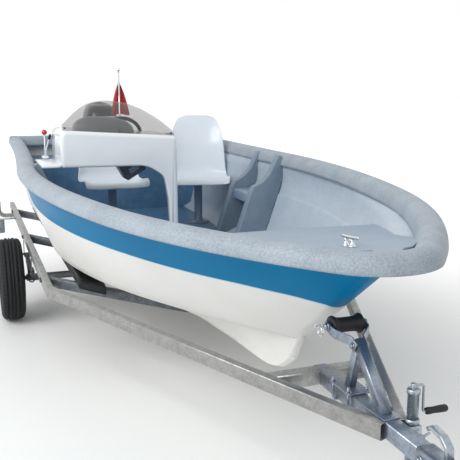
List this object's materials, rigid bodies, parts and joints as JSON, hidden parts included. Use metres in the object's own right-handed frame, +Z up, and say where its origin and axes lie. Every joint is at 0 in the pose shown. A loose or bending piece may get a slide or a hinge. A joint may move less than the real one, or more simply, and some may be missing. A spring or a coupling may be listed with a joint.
{
  "type": "open speedboat on its single-axle trailer",
  "caption": "Open moulded speedboat with side console, two seats and outboard motor, standing on its galvanised single-axle trailer with the jockey wheel down.",
  "frame": {"origin": "on the ground below the middle of the overall box, on the centreline", "axes": "+X to the bow and coupling, +Y to port, +Z up"},
  "size_m": [6.04, 2.2, 1.78],
  "materials": {
    "white_gelcoat": "glossy moulded glass-fibre with white gelcoat",
    "grey_gelcoat": "speckled grey-blue gelcoat",
    "blue_liner": "blue-grey painted liner",
    "smoked_screen": "smoked acrylic",
    "grey_plastic": "moulded grey plastic",
    "black_plastic": "black moulded plastic",
    "red_cloth": "woven flag cloth",
    "chrome_fitting": "polished deck fitting",
    "white_seat": "moulded seat shell",
    "grey_post": "grey painted tube",
    "galvanised": "hot-dip galvanised steel",
    "dark_steel": "dark painted steel",
    "black_rubber": "black rubber",
    "tyre_rubber": "road tyre",
    "rim_steel": "grey painted wheel rim",
    "black_motor": "black painted motor",
    "bunk_board": "black covered board"
  },
  "bodies": {
    "boat_on_trailer": {"hull_shell": "white_gelcoat", "gunwale_rail": "grey_gelcoat", "cockpit_sole": "blue_liner", "fore_deck": "grey_gelcoat", "aft_deck": "blue_liner", "side_ribs_port": "blue_liner", "side_ribs_starboard": "blue_liner", "console_body": "white_gelcoat", "console_shelf": "white_gelcoat", "dash_hood": "grey_plastic", "windscreen": "smoked_screen", "helm_box": "black_plastic", "control_levers": "white_seat", "bow_cleat": "chrome_fitting", "bow_eye": "chrome_fitting", "flag_staff": "chrome_fitting", "flag": "red_cloth", "motor_bracket": "black_motor", "driver_seat": "white_seat", "driver_seat_post": "grey_post", "passenger_seat": "white_seat", "passenger_seat_post": "grey_post", "frame_beam_port": "galvanised", "frame_beam_starboard": "galvanised", "drawbar": "galvanised", "front_cross_member": "galvanised", "vee_members": "dark_steel", "bunk_port": "bunk_board", "bunk_starboard": "bunk_board", "bunk_blocks": "galvanised", "keel_pads": "black_rubber", "axle_beam": "galvanised", "leaf_springs": "dark_steel", "rear_tube": "dark_steel", "lamp_brackets": "grey_post", "bow_post": "galvanised", "roller_arms": "galvanised", "jockey_clamp": "galvanised", "jockey_crank": "galvanised", "coupling_head": "galvanised", "coupling_handle": "galvanised"},
    "wheel_port": {"tyre_port": "tyre_rubber", "rim_port": "rim_steel"},
    "wheel_starboard": {"tyre_starboard": "tyre_rubber", "rim_starboard": "rim_steel"},
    "bow_roller": {"bow_roller": "black_rubber"},
    "jockey_leg": {"jockey_leg": "galvanised"},
    "jockey_fork": {"jockey_fork": "galvanised"},
    "jockey_wheel": {"jockey_wheel": "black_rubber"},
    "motor_swivel": {"motor_swivel": "black_motor"},
    "motor_head": {"motor_head": "black_motor"},
    "propeller": {"propeller": "black_motor"},
    "steering_wheel": {"steering_wheel": "black_plastic"}
  },
  "joints": [
    {"name": "wheel_port_spin", "type": "hinge", "parent": "boat_on_trailer", "child": "wheel_port", "pos_m": [-0.821, 1.012, 0.29], "axis": [0, 1, 0], "continuous": true},
    {"name": "wheel_starboard_spin", "type": "hinge", "parent": "boat_on_trailer", "child": "wheel_starboard", "pos_m": [-0.821, -1.012, 0.29], "axis": [0, 1, 0], "continuous": true},
    {"name": "bow_roller_spin", "type": "hinge", "parent": "boat_on_trailer", "child": "bow_roller", "pos_m": [2.19, 0, 0.78], "axis": [0, 1, 0], "continuous": true},
    {"name": "jockey_slide", "type": "slide", "parent": "boat_on_trailer", "child": "jockey_leg", "axis": [0, 0, 1], "range_m": [0, 0.19]},
    {"name": "jockey_swivel", "type": "hinge", "parent": "jockey_leg", "child": "jockey_fork", "pos_m": [2.556, 0.054, 0.19], "axis": [0, 0, 1], "continuous": true},
    {"name": "jockey_wheel_spin", "type": "hinge", "parent": "jockey_fork", "child": "jockey_wheel", "pos_m": [2.496, 0.054, 0.08], "axis": [0, 1, 0], "continuous": true},
    {"name": "motor_tilt", "type": "hinge", "parent": "boat_on_trailer", "child": "motor_swivel", "pos_m": [-2.61, 0, 0.93], "axis": [0, 1, 0], "range_deg": [0, 60]},
    {"name": "steering_wheel_turn", "type": "hinge", "parent": "boat_on_trailer", "child": "steering_wheel", "pos_m": [-0.905, -0.2, 1.262], "axis": [0.8192, 0, -0.5736], "range_deg": [-540, 540]},
    {"name": "motor_steer", "type": "hinge", "parent": "motor_swivel", "child": "motor_head", "pos_m": [-2.69, 0, 0.9], "axis": [0, 0, 1], "range_deg": [-30, 30]},
    {"name": "propeller_spin", "type": "hinge", "parent": "motor_head", "child": "propeller", "pos_m": [-2.98, 0, 0.195], "axis": [1, 0, 0], "continuous": true}
  ],
  "couplings": [
    {"joint": "motor_steer", "follows": "steering_wheel_turn", "ratio": 0.055556}
  ]
}
